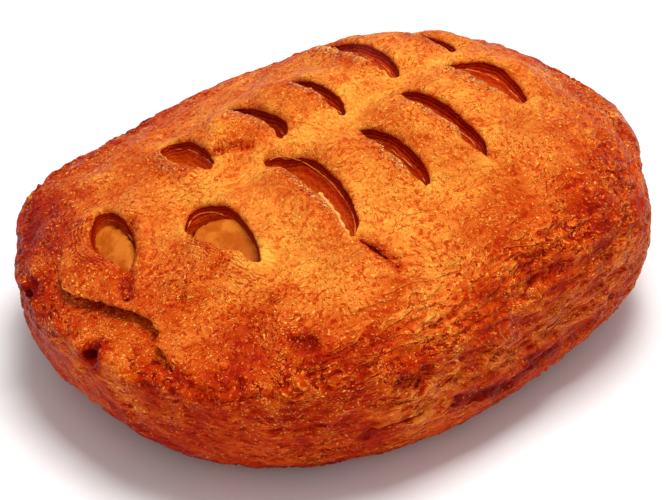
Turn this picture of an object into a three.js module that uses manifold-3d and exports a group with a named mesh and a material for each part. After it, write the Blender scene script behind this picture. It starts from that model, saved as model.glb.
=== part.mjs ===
// A cheese puff pastry: a loaf-shaped parcel of laminated dough, slit across its top in two rows,
// folded shut at both ends and baked round a mound of soft cheese that shows at the slits.
// Millimetres, +Z up. +X runs along the loaf towards its taller end, the near row of slits is at -Y,
// and the origin is at the middle of the base.

import * as THREE from "three";
import { mergeVertices } from "three/addons/utils/BufferGeometryUtils.js";
import Module from "manifold-3d";

// Driving dimensions of the baked loaf.
const LENGTH = 130;
const WIDTH = 101;
const CROWN = 46.5; // height of the smooth dome over the middle
const WAIST = 24; // height of the widest level
const TUCK = 30; // depth of the rounding under the waist, cut off flat by the tray
const TALLER = 0.23; // share by which the dome rises from the middle to the +X end
const NARROWER = 0.06; // share by which the loaf narrows from the middle to the +X end
const PLAN_POWER = 2.5; // 2 is an ellipse seen from above, more is squarer
const DOME_POWER = 1.95;
const TUCK_POWER = 2.9;

// The cheese, a smaller loaf inside, and the free gap between it and the dough.
const CHEESE_LENGTH = 108;
const CHEESE_WIDTH = 62;
const CHEESE_DEPTH = 6; // dough over the cheese, measured at the middle
const CHEESE_TUCK = 12;
const CHEESE_GAP = 0.3;

// The slits in their two rows: the place of the lip along X, the Y of the end nearer the middle line
// and of the outer end, how far the slit has opened, and how far it slants (X for each unit of Y).
const NEAR_ROW = [
  { x: -37.5, inner: -2, outer: -18.8, gape: 10.5, slant: 0.28 },
  { x: -18, inner: -0.5, outer: -25.4, gape: 6.8, slant: 0.03 },
  { x: -0.5, inner: -4, outer: -25, gape: 5.6, slant: 0.1 },
  { x: 13, inner: -3.2, outer: -22.8, gape: 6.6, slant: 0.24 },
  { x: 29.5, inner: 1.5, outer: -18, gape: 8.2, slant: 0.2 },
];
const FAR_ROW = [
  { x: -51, inner: 1, outer: 14, gape: 9, slant: 0.05 },
  { x: -28.3, inner: 9, outer: 22.5, gape: 8, slant: 0.05 },
  { x: -12.3, inner: 4.3, outer: 23.2, gape: 5, slant: -0.05 },
  { x: 0.8, inner: 0.4, outer: 22, gape: 5.2, slant: 0.03 },
  { x: 15, inner: 4.8, outer: 24, gape: 6, slant: 0 },
  { x: 28.5, inner: 5.6, outer: 23, gape: 5.6, slant: 0 },
];
const LIP_BOW = 1.2;
const LAYERS = 2; // dough leaves that show as ledges in a slit's wall
const LEAF = 2.7; // height of one leaf
const LEDGE = 0.7; // how far one leaf stands out over the next
const LEAF_EDGE = 0.75; // share of a leaf's height at which it stands out most
const WALL_LEAN = 0.12; // share by which the pocket narrows as it goes down
const RIM = 0.8; // depth of the rounded rim over the first leaf
const CUT_ABOVE = 5;
const CUT_BELOW = 2.6; // how far a pocket reaches on into the cheese

// Relief of the skin.
const LIP_RISE = 1.7;
const SHOULDER_RISE = 1.4;
const SWELL_REACH = 4.8;
const SWELL_SPAN = 1.25; // share of a slit's span over which the dough swells
const SWELL_OFFSET = 4.5; // from a slit's edge to the crest of the swollen dough beside it
const VALLEY_DEPTH = 1.3; // between the two rows
const VALLEY_REACH = 3.5;
const VALLEY_LENGTH = 45;
const VALLEY_MIDDLE = { x: -5, y: 1.5 };
const RELIEF_FROM = 0.35; // upward share of the skin's direction where the relief of the top begins
const RELIEF_FULL = 0.75;

// Slow waves that make the skin uneven: height, length of a wave along X, Y and Z, and a shift.
const WAVES = [
  { height: 0.45, x: 57, y: 190, z: 160, shift: 4.1 },
  { height: 0.35, x: 110, y: 46, z: 90, shift: 2.4 },
  { height: 0.3, x: 83, y: 71, z: 31, shift: 3.5 },
];

// The folded ends: a flap over a plug of dough with two pricked holes.
const FOLD_HEIGHT = 30.5;
const FOLD_MIDDLE = -6;
const FOLD_DROP = 0.0042; // how fast the fold falls away to both sides, per millimetre
const FOLD_HALF_WIDTH = 36;
const FOLD_WAVE = { height: 0.8, length: 31 };
const FOLD_FROM = 0.72; // share of half the length where a fold begins
const FOLD_FULL = 0.86;
const FLAP = { swell: 1.4, above: 4, reach: 3.5 };
const GROOVE = { depth: 2.2, below: 0.6, reach: 2.3 };
const PLUG = { swell: 0.9, below: 8, reach: 4.5 };
const PRICK_RADIUS = 1.7;
const PRICK_DEPTH = 5;
const PRICK_HEIGHT = 24.5;
const PRICK_PLACES = [-7.5, 14.5];
const PRICK_SIDES = 9;

// Fineness of the facets, with the levels drawn together round the folds.
const SKIN_CELLS = { x: 32, y: 26, z: 14 };
const CHEESE_CELLS = { x: 14, y: 8, z: 4 };
const FOLD_LEVEL = 0.2; // the folds' level on a box from -1 to 1
const FOLD_GATHER = 0.6;
const SLIT_POINTS = 18;
const MERGE_DISTANCE = 1e-3;

const CRUST_COLOUR = 0xd8772a;
const CHEESE_COLOUR = 0xf0c070;

const wasm = await Module();
wasm.setup();

// Sizes of a loaf-shaped body as one record.
const DOUGH = {
  halfLength: LENGTH / 2,
  halfWidth: WIDTH / 2,
  crown: CROWN,
  waist: WAIST,
  tuck: TUCK,
};

function cheeseLoaf(margin) {
  return {
    halfLength: CHEESE_LENGTH / 2 + margin,
    halfWidth: CHEESE_WIDTH / 2 + margin,
    crown: CROWN - CHEESE_DEPTH + margin,
    waist: WAIST,
    tuck: CHEESE_TUCK + margin,
  };
}

// The height of a loaf's crown at a place along it.
function crownAt(loaf, x) {
  return loaf.crown * (1 + (TALLER * x) / DOUGH.halfLength);
}

function taperAt(x) {
  return 1 - (NARROWER * x) / DOUGH.halfLength;
}

// The point of a loaf's smooth skin that lies in the direction of a unit vector.
function skinPoint(loaf, direction) {
  const level = Math.hypot(direction.x, direction.y);
  const along = level > 0 ? direction.x / level : 1;
  const across = level > 0 ? direction.y / level : 0;
  const reach =
    (Math.abs(along / loaf.halfLength) ** PLAN_POWER + Math.abs(across / loaf.halfWidth) ** PLAN_POWER) **
    (-1 / PLAN_POWER);
  const power = direction.z >= 0 ? DOME_POWER : TUCK_POWER;
  const out = reach * level ** (2 / power);
  const rise = Math.abs(direction.z) ** (2 / power);
  const x = out * along;
  const y = out * across * taperAt(x);
  const height = direction.z >= 0 ? crownAt(loaf, x) - loaf.waist : -loaf.tuck;
  return new THREE.Vector3(x, y, loaf.waist + height * rise);
}

// The height of the dough's smooth dome over a point of the plan.
function domeHeight(x, y) {
  const share =
    Math.abs(x / DOUGH.halfLength) ** PLAN_POWER + Math.abs(y / (DOUGH.halfWidth * taperAt(x))) ** PLAN_POWER;
  const inside = Math.max(0, 1 - share ** (DOME_POWER / PLAN_POWER));
  return WAIST + (crownAt(DOUGH, x) - WAIST) * inside ** (1 / DOME_POWER);
}

// The skin's outward direction at a point, as on an ellipsoid of the loaf's size.
function outward(point) {
  const height = point.z >= WAIST ? crownAt(DOUGH, point.x) - WAIST : TUCK;
  return new THREE.Vector3(
    point.x / DOUGH.halfLength ** 2,
    point.y / DOUGH.halfWidth ** 2,
    (point.z - WAIST) / height ** 2,
  ).normalize();
}

function bell(value, reach) {
  return Math.exp(-((value / reach) ** 2));
}

// A slit's middle and half its span, worked out from its ends.
function measured(slit) {
  return { ...slit, y: (slit.inner + slit.outer) / 2, halfSpan: Math.abs(slit.outer - slit.inner) / 2 };
}

const SLITS = [...NEAR_ROW, ...FAR_ROW].map(measured);

// Which way a slit's outer end lies, across the loaf.
function sideOf(slit) {
  return Math.sign(slit.outer - slit.inner);
}

// The dough swells up on both sides of every slit and sinks between the two rows.
function slitRelief(x, y) {
  const swell = SLITS.reduce((sum, slit) => {
    const outwards = (y - slit.y) * sideOf(slit);
    const across = x - slit.x - outwards * slit.slant;
    const window = Math.max(0, 1 - (outwards / (SWELL_SPAN * slit.halfSpan)) ** 2);
    const lip = LIP_RISE * bell(across + SWELL_OFFSET, SWELL_REACH);
    const shoulder = SHOULDER_RISE * bell(across - slit.gape - SWELL_OFFSET, SWELL_REACH);
    return sum + window * (lip + shoulder);
  }, 0);
  const valley = bell(y - VALLEY_MIDDLE.y, VALLEY_REACH) * bell(x - VALLEY_MIDDLE.x, VALLEY_LENGTH);
  return swell - VALLEY_DEPTH * valley;
}

// The fold's height across an end.
function foldHeight(y) {
  const wave = FOLD_WAVE.height * Math.sin((2 * Math.PI * y) / FOLD_WAVE.length);
  return FOLD_HEIGHT - FOLD_DROP * (y - FOLD_MIDDLE) ** 2 + wave;
}

// At each end a flap swells over a groove, with a rounded plug of dough under it.
function foldRelief(point) {
  const end = THREE.MathUtils.smoothstep(Math.abs(point.x) / DOUGH.halfLength, FOLD_FROM, FOLD_FULL);
  const width = 1 - THREE.MathUtils.smoothstep(Math.abs(point.y) / FOLD_HALF_WIDTH, FOLD_FROM, 2 - FOLD_FROM);
  const above = point.z - foldHeight(point.y);
  const flap = FLAP.swell * bell(above - FLAP.above, FLAP.reach);
  const groove = GROOVE.depth * bell(above + GROOVE.below, GROOVE.reach);
  const plug = PLUG.swell * bell(above + PLUG.below, PLUG.reach);
  return end * width * (flap - groove + plug);
}

// The dough is nowhere quite even.
function unevenness(point) {
  return WAVES.reduce((sum, wave) => {
    const turns = point.x / wave.x + point.y / wave.y + point.z / wave.z;
    return sum + wave.height * Math.sin(2 * Math.PI * turns + wave.shift);
  }, 0);
}

function doughPoint(direction) {
  const point = skinPoint(DOUGH, direction);
  const normal = outward(point);
  const top = THREE.MathUtils.smoothstep(normal.z, RELIEF_FROM, RELIEF_FULL);
  const relief = top * slitRelief(point.x, point.y) + foldRelief(point) + unevenness(point);
  return point.addScaledVector(normal, relief);
}

// A level of a box from -1 to 1, moved towards the folds' level so that facets gather there.
function gathered(level, gather) {
  const shift = Math.sin(Math.PI * (level - FOLD_LEVEL)) - Math.sin(Math.PI * (1 - FOLD_LEVEL));
  return level - (gather / Math.PI) * shift;
}

// A subdivided box blown up to a ball, every vertex then put where the given rule says.
function blownUp(cells, gather, place) {
  const geometry = new THREE.BoxGeometry(2, 2, 2, cells.x, cells.y, cells.z);
  const position = geometry.attributes.position;
  const p = new THREE.Vector3();
  for (let i = 0; i < position.count; i++) {
    p.fromBufferAttribute(position, i);
    p.z = gathered(p.z, gather);
    const [xx, yy, zz] = [p.x * p.x, p.y * p.y, p.z * p.z];
    const direction = new THREE.Vector3(
      p.x * Math.sqrt(1 - yy / 2 - zz / 2 + (yy * zz) / 3),
      p.y * Math.sqrt(1 - zz / 2 - xx / 2 + (zz * xx) / 3),
      p.z * Math.sqrt(1 - xx / 2 - yy / 2 + (xx * yy) / 3),
    ).normalize();
    position.setXYZ(i, ...place(direction).toArray());
  }
  return geometry;
}

// A closed tube through rings of points, each ring in the same order, with flat ends.
function loft(rings) {
  const count = rings[0].length;
  const positions = rings.flat().flatMap((p) => p.toArray());
  const triangles = [];
  for (let r = 0; r + 1 < rings.length; r++) {
    for (let i = 0; i < count; i++) {
      const [a, b] = [r * count + i, r * count + ((i + 1) % count)];
      triangles.push(a, b, b + count, a, b + count, a + count);
    }
  }
  const last = (rings.length - 1) * count;
  for (let i = 1; i + 1 < count; i++) {
    triangles.push(0, i + 1, i, last, last + i, last + i + 1);
  }
  return new THREE.BufferGeometry()
    .setAttribute("position", new THREE.Float32BufferAttribute(positions, 3))
    .setIndex(triangles);
}

function solid(geometry) {
  const bare = geometry.clone();
  bare.deleteAttribute("normal");
  bare.deleteAttribute("uv");
  const merged = mergeVertices(bare, MERGE_DISTANCE);
  return new wasm.Manifold(
    new wasm.Mesh({
      numProp: 3,
      vertProperties: merged.attributes.position.array,
      triVerts: new Uint32Array(merged.index.array),
    }),
  );
}

function geometryOf(body) {
  const mesh = body.getMesh();
  return new THREE.BufferGeometry()
    .setAttribute("position", new THREE.BufferAttribute(mesh.vertProperties, 3))
    .setIndex(new THREE.BufferAttribute(mesh.triVerts, 1));
}

// A slit's outline: a nearly straight lip in front and a bowed wall behind, shrunk by a share.
function slitOutline(slit, share, ledge) {
  const half = SLIT_POINTS / 2;
  const points = [];
  for (let i = 0; i < SLIT_POINTS; i++) {
    const back = i <= half;
    const along = back ? (2 * i) / half - 1 : 1 - (2 * (i - half)) / half;
    const bow = Math.sqrt(1 - along * along);
    const across = bow * (back ? slit.gape - ledge : LIP_BOW);
    points.push({ along: along * slit.halfSpan * share, across: across * share });
  }
  return points;
}

// The depths of a pocket's rings and how far the dough stands out at each: leaf under leaf.
function pocketLevels() {
  const levels = [{ depth: -CUT_ABOVE, ledge: 0 }];
  for (let leaf = 0; leaf < LAYERS; leaf++) {
    const top = RIM + leaf * LEAF;
    levels.push({ depth: top, ledge: (leaf * LEDGE) / 2 });
    levels.push({ depth: top + LEAF_EDGE * LEAF, ledge: (leaf * LEDGE) / 2 + LEDGE });
  }
  levels.push({ depth: RIM + LAYERS * LEAF + CUT_BELOW, ledge: LAYERS * LEDGE });
  return levels;
}

// The pocket under a slit, which goes down to the cheese.
function pocket(slit) {
  const middle = new THREE.Vector3(slit.x, slit.y, domeHeight(slit.x, slit.y));
  const down = outward(middle).negate();
  const along = new THREE.Vector3(slit.slant, sideOf(slit), 0).projectOnPlane(down).normalize();
  const across = new THREE.Vector3(1, 0, 0).projectOnPlane(down);
  across.addScaledVector(along, -across.dot(along)).normalize();
  const depthInAll = RIM + LAYERS * LEAF;
  const rings = pocketLevels().map(({ depth, ledge }) => {
    const share = 1 - (WALL_LEAN * Math.max(0, depth)) / depthInAll;
    const level = middle.clone().addScaledVector(down, depth);
    return slitOutline(slit, share, ledge).map((p) =>
      level.clone().addScaledVector(along, p.along).addScaledVector(across, p.across),
    );
  });
  return solid(loft(sideOf(slit) < 0 ? rings : rings.reverse()));
}

// The skin's own point at a height on one end, at a given place across it.
function endPoint(end, y, z) {
  const rise = (z - WAIST) / (crownAt(DOUGH, end * DOUGH.halfLength) - WAIST);
  const level = (1 - rise ** DOME_POWER) ** (1 / DOME_POWER);
  const across = (Math.abs(y) / (DOUGH.halfWidth * level)) ** PLAN_POWER;
  return new THREE.Vector3(end * DOUGH.halfLength * level * (1 - across) ** (1 / PLAN_POWER), y, z);
}

// A pricked hole in the plug of dough: a cone that has its given radius at the skin.
function prick(end, y) {
  const skin = endPoint(end, y, PRICK_HEIGHT);
  const cone = new THREE.ConeGeometry(2 * PRICK_RADIUS, 2 * PRICK_DEPTH, PRICK_SIDES);
  cone.rotateZ((end * Math.PI) / 2);
  cone.translate(skin.x, skin.y, skin.z);
  return solid(cone);
}

// The cheese's own shape, or with a margin the hollow that holds it.
function cheeseShape(margin) {
  return blownUp(CHEESE_CELLS, 0, (direction) => skinPoint(cheeseLoaf(margin), direction));
}

function crustSolid() {
  const tray = new THREE.BoxGeometry(2 * LENGTH, 2 * WIDTH, TUCK).translate(0, 0, -TUCK / 2);
  const cuts = [solid(tray), solid(cheeseShape(CHEESE_GAP)), ...SLITS.map(pocket)];
  for (const end of [-1, 1]) {
    cuts.push(...PRICK_PLACES.map((y) => prick(end, y)));
  }
  return cuts.reduce((body, cut) => body.subtract(cut), solid(blownUp(SKIN_CELLS, FOLD_GATHER, doughPoint)));
}

function subpart(name, geometry, colour, roughness) {
  const material = new THREE.MeshStandardMaterial({ color: colour, roughness, metalness: 0 });
  const mesh = new THREE.Mesh(geometry, material);
  mesh.name = name;
  return mesh;
}

const crust = geometryOf(crustSolid());
const cheese = cheeseShape(0);

const pastry = new THREE.Group();
pastry.name = "cheese_puff_pastry";
pastry.add(subpart("crust", crust, CRUST_COLOUR, 0.45));
pastry.add(subpart("cheese_filling", cheese, CHEESE_COLOUR, 0.35));

// The origin goes to the middle of the base.
const box = new THREE.Box3().setFromObject(pastry);
const middle = box.getCenter(new THREE.Vector3());
pastry.position.set(-middle.x, -middle.y, -box.min.z);

export default pastry;
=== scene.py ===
# A baked cheese puff pastry: the crust, its leaves and flakes, and the cheese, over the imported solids.
import math
from functools import reduce

import bmesh
import bpy
import numpy as np
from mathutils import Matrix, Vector


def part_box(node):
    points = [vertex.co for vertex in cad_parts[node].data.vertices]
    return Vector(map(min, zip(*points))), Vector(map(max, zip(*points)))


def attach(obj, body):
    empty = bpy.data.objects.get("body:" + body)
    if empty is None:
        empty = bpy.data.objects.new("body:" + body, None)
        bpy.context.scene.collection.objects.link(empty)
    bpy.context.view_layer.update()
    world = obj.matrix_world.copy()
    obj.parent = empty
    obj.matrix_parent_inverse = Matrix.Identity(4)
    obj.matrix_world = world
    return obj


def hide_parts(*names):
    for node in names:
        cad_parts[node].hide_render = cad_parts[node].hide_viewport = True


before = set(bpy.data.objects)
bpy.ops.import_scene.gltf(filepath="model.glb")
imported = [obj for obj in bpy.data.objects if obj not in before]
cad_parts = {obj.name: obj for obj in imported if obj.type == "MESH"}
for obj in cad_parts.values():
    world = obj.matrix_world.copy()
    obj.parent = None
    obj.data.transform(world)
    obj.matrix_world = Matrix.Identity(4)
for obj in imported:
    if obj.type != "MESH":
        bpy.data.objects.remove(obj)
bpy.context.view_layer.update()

MM = 0.001
SEED = 7

# The loaf's driving sizes in millimetres, as the solids have them.
HALF_LENGTH = 65.0
HALF_WIDTH = 50.5
CROWN = 46.5             # height of the dome at the middle
WAIST = 24.0             # height at which the loaf is widest
TUCK = 30.0              # how far below the waist the lower half would reach without its flat base
TALLER = 0.23            # share by which the crown rises towards +X
NARROWER = 0.06          # share by which the loaf narrows towards +X
PLAN_POWER = 2.5
DOME_POWER = 1.95
TUCK_POWER = 2.9
CHEESE = {"half_length": 54.0, "half_width": 31.0, "crown": 40.5, "tuck": 12.0}
CHEESE_GAP = 0.5
CHEESE_LEVEL = 3         # of subdivision

# The slits: the lip's place along X, the inner and the outer end along Y, the gape, the slant, the lip's bow,
# how much narrower the outer half is, how far the opening leans inwards, the power of the oval that the rim
# follows, how deep the floor lies, how much the dough beside it swells, how far the lip rolls over, how
# strongly the layers show on it, and how far the cheese rises in it (0 where none shows).
SLIT_SIZES = (
    "x", "inner", "outer", "gape", "slant", "bow", "skew", "lean", "round",
    "floor", "swell", "roll", "layers", "cheese",
)
SLIT_ROWS = [
    (-35.6, -2.2, -19.2, 9.3, 0.41, -1.9, 0.0, 0.75, 2.1, 8.8, 0.6, 1.0, 1.0, 4.0),
    (-16.7, 2.9, -27.5, 6.6, -0.04, 0.5, 0.0, 0.6, 2.2, 5.2, 1.0, 0.4, 0.3, 0.0),
    (1.1, -4.6, -25.1, 3.0, 0.08, -1.0, 0.05, 0.0, 2.9, 5.2, 1.0, 0.4, 0.3, 0.0),
    (13.3, 0.0, -26.0, 4.4, 0.19, -0.6, 0.25, 0.0, 2.9, 5.2, 1.0, 0.4, 0.3, 0.0),
    (30.2, 2.8, -17.4, 7.2, 0.31, -3.6, 0.37, 0.0, 2.9, 5.2, 1.0, 0.4, 0.3, 0.0),
    (-47.7, -0.8, 17.8, 4.1, 0.34, -4.0, 0.0, 0.0, 2.2, 8.8, 0.45, 1.4, 1.0, 4.0),
    (-24.8, 9.3, 24.7, 3.5, -0.03, -3.2, 0.0, 0.0, 2.5, 5.2, 0.6, 0.6, 0.3, 0.0),
    (-11.4, 4.7, 23.6, 3.3, -0.11, 1.0, 0.30, 0.0, 2.9, 5.2, 0.8, 0.4, 0.3, 0.0),
    (1.3, 2.2, 21.3, 2.2, -0.16, -1.0, 0.08, 0.0, 2.9, 5.2, 0.8, 0.4, 0.3, 0.0),
    (18.0, 2.9, 33.5, 3.6, 0.13, -2.9, 0.0, 0.0, 2.9, 5.2, 1.0, 0.4, 0.3, 0.0),
    (33.0, 6.0, 23.0, 3.8, 0.0, -0.6, 0.0, 0.0, 2.9, 5.2, 0.8, 0.4, 0.3, 0.0),
]
SLITS = [dict(zip(SLIT_SIZES, row)) for row in SLIT_ROWS]
BAND = 2.8               # depth of the steep upper wall of a slit, down to its first ledge
LEDGE = 0.55             # how far the ledge stands out
LEDGE_SOFT = 0.25
SLOPE_SHARE = 0.62       # of the gape, taken up by the slope under the ledge
UNDERCUT = {"depth": 0.12, "at": 0.55, "reach": 0.7}  # of the upper wall, at a share of its depth
BAND_LEAN = 0.16         # of its depth, by which the upper wall leans outwards
WALL_LEAN = 0.014
LEAST_GAPE = 0.4
CURL = 0.2               # of the gape, by which the lip turns away at the outer end
CURL_START = 0.3         # of the half span, from which it does so
LIP_RISE = 3.4
LIP_OFFSET = 2.2
SHOULDER_RISE = 2.7
SHOULDER_OFFSET = 3.0
SWELL_REACH = 4.6
SWELL_SPAN = 1.25
LIP_BANDS = {            # bands along the lip: how far behind its edge they lie, and how far they reach
    "roll": (0.0, 1.8),
    "lip": (1.1, 1.8),
    "layers": (2.0, 2.6),
    # the redder band by the lip: partly browning, partly painted shade on the pillow's front
    "ruddy": (1.8, 2.4),
}
LAYERS_START = 0.3       # share of the lip's front at which its layers show fully
LIP_GAIN = 1.3
SLIT_END = {"past": 0.8, "reach": 2.2, "aside": 0.5, "width": 2.4}  # where the dough is stretched
VALLEY_DEPTH = 1.4
VALLEY_REACH = 3.5
VALLEY_LENGTH = 45.0
VALLEY_MIDDLE = (-5.0, 1.5)
WAVES = [
    {"height": 0.45, "x": 57.0, "y": 190.0, "z": 160.0, "shift": 4.1},
    {"height": 0.35, "x": 110.0, "y": 46.0, "z": 90.0, "shift": 2.4},
    {"height": 0.3, "x": 83.0, "y": 71.0, "z": 31.0, "shift": 3.5},
]

# Flatter places of the loaf: middle, reach and depth, below zero where it is fuller.
DENTS = [
    ((-55.0, 32.0, 27.0), 12.0, 1.4),
    ((-24.0, 40.0, 34.5), 14.0, 1.1),
    ((2.0, 36.5, 39.5), 14.0, 1.1),
    ((52.0, -14.0, 41.0), 12.0, 1.1),
    ((-63.4, 14.0, 15.0), 9.0, 0.7),
    ((-46.0, -15.0, 35.0), 7.0, -1.3),
    ((-55.5, 4.0, 31.5), 4.5, -0.9),
    ((-33.0, -36.0, 34.5), 5.0, -0.7),
]

# The folded ends: the height of the flap's edge at places along Y, and the pricked holes.
FOLD_EDGE = [
    (-32.0, 24.5), (-27.0, 26.9), (-23.0, 28.9), (-19.0, 30.2), (-15.0, 30.9), (-11.0, 31.1), (-7.0, 30.8),
    (-3.0, 30.1), (1.0, 29.4), (5.0, 29.3), (9.0, 30.0), (13.0, 31.4), (17.0, 33.0), (21.0, 34.2),
]
FOLD_ENDS = (-30.0, -20.0, 16.0, 25.0)  # along Y, between which the fold sets in and runs out
FOLD_START = (0.72, 0.84)  # of the half length, over which the fold sets in
FLAP = {"height": 2.0, "reach": 5.0, "edge": 0.65}
GROOVE = {"depth": 1.3, "below": 0.9, "reach": 0.8}
PLUG_SWELL = {"height": 1.0, "below": 7.0, "reach": 3.5}
FOLD_SHADE = {"edge": (0.5, 0.8), "below": (2.4, 2.2), "share": 0.5}
FOLD_CALM = {"reach": 3.0, "share": 0.8}  # where the skin has less relief of its own
PRICK = {"radius": 2.5, "depth": 2.4, "hole": 1.05, "hole_depth": 5.5, "aside": (1.3, -0.5), "start": 0.8}
PRICKS = [(-9.6, 24.2), (13.9, 24.4)]

# Creases in the skin: width, depth and a path over the loaf. A cut one is open, the others are soft valleys.
CREASE_SIZES = ("width", "depth", "cut", "path")
CREASE_ROWS = [
    (
        0.7, 1.5, True,
        [(-16.5, -28.2, 40.0), (-15.2, -31.4, 39.2), (-14.4, -34.6, 38.3), (-13.9, -36.3, 37.7)],
    ),
    (0.8, 1.1, False, [(-21.6, 11.7, 41.7), (-18.7, 10.4, 42.5), (-15.8, 8.1, 43.3)]),
    (0.8, 0.8, False, [(14.6, -21.4, 46.3), (17.4, -27.0, 44.9), (19.1, -30.9, 43.4)]),
    (
        0.6, 1.3, False,
        [(-59.1, -21.4, 28.2), (-58.9, -24.4, 27.6), (-57.3, -29.9, 27.0), (-55.4, -34.8, 25.5)],
    ),
    (0.8, 1.0, False, [(-61.1, 23.9, 26.3), (-62.4, 15.5, 27.1), (-63.2, 12.1, 26.9)]),
    (0.6, 0.8, False, [(-65.5, -7.4, 21.9), (-65.0, -10.6, 17.9), (-63.7, -15.8, 14.9)]),
    (1.0, 1.0, False, [(-24.6, -50.5, 24.3), (-20.8, -50.7, 23.2), (-19.3, -51.1, 24.8)]),
    (1.0, 0.9, False, [(-31.6, -47.9, 13.2), (-26.8, -49.2, 14.1), (-22.5, -49.9, 14.4)]),
    (0.55, 2.2, True, [(-12.2, -50.8, 15.1), (1.8, -49.7, 12.0), (10.1, -49.8, 14.2), (18.7, -48.0, 11.8)]),
    (0.55, 2.2, True, [(21.7, -47.5, 12.2), (24.5, -47.2, 13.2), (29.5, -46.0, 13.8)]),
    (1.6, 1.4, False, [(-38.6, -37.6, 32.0), (-36.9, -38.6, 32.0)]),
    (1.1, 1.2, False, [(-43.8, 8.2, 35.3), (-46.3, 4.1, 34.5), (-52.5, -4.0, 32.2), (-54.6, -7.2, 31.3)]),
]
CREASES = [dict(zip(CREASE_SIZES, row)) for row in CREASE_ROWS]
CREASE_SWELL = {"height": 0.5, "offset": 2.4, "reach": 1.5}

# Spots of more or less browning from the oven, and painted shade on humps' shaded sides: middle, reach and
# how much.
BROWNED_AND_SHADED = [
    ((-45.0, -13.0, 34.5), 9.0, 0.16),
    ((-54.5, 3.0, 31.0), 7.0, 0.16),
    ((-51.0, -12.5, 32.5), 5.0, 0.12),
    ((-44.0, -33.0, 31.0), 9.0, 0.16),
    ((-38.0, -28.0, 35.0), 8.0, 0.14),
    ((-30.0, -42.0, 31.0), 8.0, 0.12),
    ((-53.0, 24.0, 30.0), 10.0, 0.24),
    ((20.0, -44.0, 35.0), 14.0, 0.12),
    ((-62.5, -14.0, 26.0), 7.0, -0.3),
    ((-64.5, -6.0, 24.0), 5.0, -0.2),
    ((-30.0, -24.0, 40.0), 5.0, -0.1),
    ((-34.0, -18.5, 38.0), 4.0, -0.3),
    ((-16.4, -26.0, 41.5), 3.0, -0.3),
    ((4.0, 3.5, 47.5), 6.0, -0.14),
    ((-25.0, -7.0, 42.5), 6.0, -0.1),
    ((-34.8, 8.8, 38.5), 8.0, 0.1),
]

# Blisters that stand out singly: place and radius.
BLISTERS = [
    ((-35.7, -27.3, 35.8), 1.7),
    ((-46.7, -12.0, 34.2), 1.2),
    ((-45.4, -13.4, 34.4), 1.3),
    ((-46.7, -16.5, 33.9), 1.5),
    ((-48.5, -13.0, 33.6), 0.9),
]
BLISTER_SQUASH = 1.7

# The fine relief of the skin: heights in millimetres, how strongly each kind shows as a crest, noise scales.
# The crests are painted lighter in the crust's colour, as a painted highlight on the wrinkles.
RIDGE = {"height": 0.9, "crest": 1.0, "width": 0.07, "base": 0.4}
FINE_WRINKLE = {"height": 0.9, "crest": 1.8, "scale": 0.5, "detail": 4.0}
BROAD_WRINKLE = {"height": 1.3, "scale": 0.2, "detail": 3.0}
WRINKLE_STRETCH = {"sides": (0.35, 1.1, 1.5), "ends": (1.1, 0.35, 1.5)}
UNEVEN = (0.6, 0.6)      # roughness and distortion of the wrinkles
WRINKLE_WEAKER = {"up": (0.65, 0.95, 1.0, 0.35), "ends": 0.4}  # on the top, and by a share at the ends
LUMP = {"height": 1.4, "scale": 0.11}
SHOULDER_LUMP = {"height": 1.6, "noise": (0.24, 2.0, 0.5, 0.6)}
SHOULDER = {"start": (0.4, 0.55), "end": (0.8, 0.95, 1.0, 0.0)}  # upward shares of the skin's direction
SMALL_BLISTER = {"crest": 0.6, "scale": 0.24, "sharpness": 11.0, "noise": (0.06, 1.0), "shown": (0.5, 0.6)}
WARP = {"scale": 0.16, "detail": 3.0, "roughness": 0.6, "reach": 0.9}
LEAF_WAVER = 0.3         # scale of the noise by which the leaves' depth wavers

# How the crust's mesh is made. Roundings say how softly two surfaces run into each other.
ROUNDING = {"base": 1.5, "rim": 0.9, "cut": 0.4, "blister": 0.6, "lip": 0.6, "floor": 1.6}
CELL = 0.56              # edge of the cells that the mesh is made from
SURFACE = 0.5            # density of the volume at the skin
DENSITY_SPAN = 4.0       # distance over which the density falls from 1 to 0
MESH_MARGIN = 3.0        # room around the solid's box
HIDDEN_MARGIN = {"inside": 0.15, "under": 0.25}  # beside the hollow and above the base
MOST_TRIANGLES = 192000  # of the crust
HIDDEN_SHARE = 0.05      # of the triangles inside and underneath that are kept
RIM_REACH = 8.0          # distance from a slit up to which its rim's layers are counted
VALLEY_STRETCH = 0.5     # how far the valley between the rows counts as stretched dough
TINY = {"slope": 1e-9, "ring": 1e-6, "line": 1e-4}  # keep roots above zero
LEAST_SHARE = 0.05       # of the loaf's size, taken for everything nearer its core
TOP = (0.35, 0.75)       # upward share of the skin's direction, over which the top sets in
ENDS = (0.6, 0.9)        # of the half length, over which the ends set in
RELIEF = {"depth": (0.3, 1.2, 1.0, 0.0), "foot": (0.3, 2.0)}  # where the skin has its fine relief
CUT_SHADE = 1.0

# Kinds of sockets in a node group.
FLOAT = "NodeSocketFloat"
INTEGER = "NodeSocketInt"
VECTOR = "NodeSocketVector"
COLOUR = "NodeSocketColor"
GEOMETRY = "NodeSocketGeometry"
OBJECT = "NodeSocketObject"
MATERIAL = "NodeSocketMaterial"

# Sockets that share their names with others of the node, by their order.
MIX_COLOURS = (6, 7)
MIX_RESULT = 2
RANDOM_LOW = 2
RANDOM_HIGH = 3
RANDOM_RESULT = 1


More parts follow.
